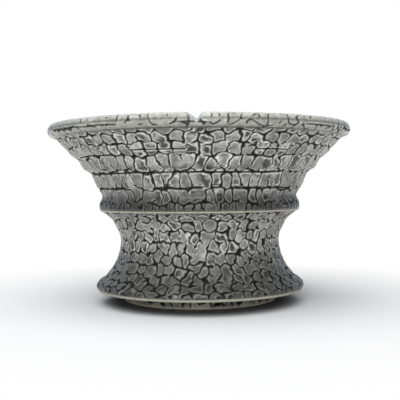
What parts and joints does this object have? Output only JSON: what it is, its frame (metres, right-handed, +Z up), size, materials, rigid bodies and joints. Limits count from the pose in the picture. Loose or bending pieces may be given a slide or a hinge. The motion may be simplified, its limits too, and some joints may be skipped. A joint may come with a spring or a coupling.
{
  "type": "ceramic bowl",
  "caption": "Round thrown bowl with a flared stepped wall, a ridge, a narrow waist, a flanged foot ring and a notched lip, under a crawled crackle glaze.",
  "frame": {"origin": "centre of the foot ring's underside, on the table", "axes": "+Z up along the axis of turning; the notch in the lip faces -Y"},
  "size_m": [0.14, 0.14, 0.082],
  "materials": {
    "stoneware": "bare dark fired stoneware, matt",
    "crackle_glaze": "crawled grey glaze in raised islands, satin",
    "lip_glaze": "smooth olive grey glaze, glossy",
    "foot_glaze": "thin patchy olive glaze, satin",
    "liner_glaze": "smooth olive grey glaze with fine crazing, glossy"
  },
  "bodies": {
    "root": {"foot_ring": "stoneware", "base_disc": "stoneware", "waist_wall": "stoneware", "upper_wall": "stoneware", "rim_band": "stoneware", "foot_glaze": "foot_glaze", "flange_glaze": "crackle_glaze", "waist_glaze": "crackle_glaze", "wall_glaze_1": "crackle_glaze", "wall_glaze_2": "crackle_glaze", "wall_glaze_3": "crackle_glaze", "wall_glaze_4": "crackle_glaze", "lip_glaze": "lip_glaze", "liner_glaze": "liner_glaze"}
  },
  "joints": []
}
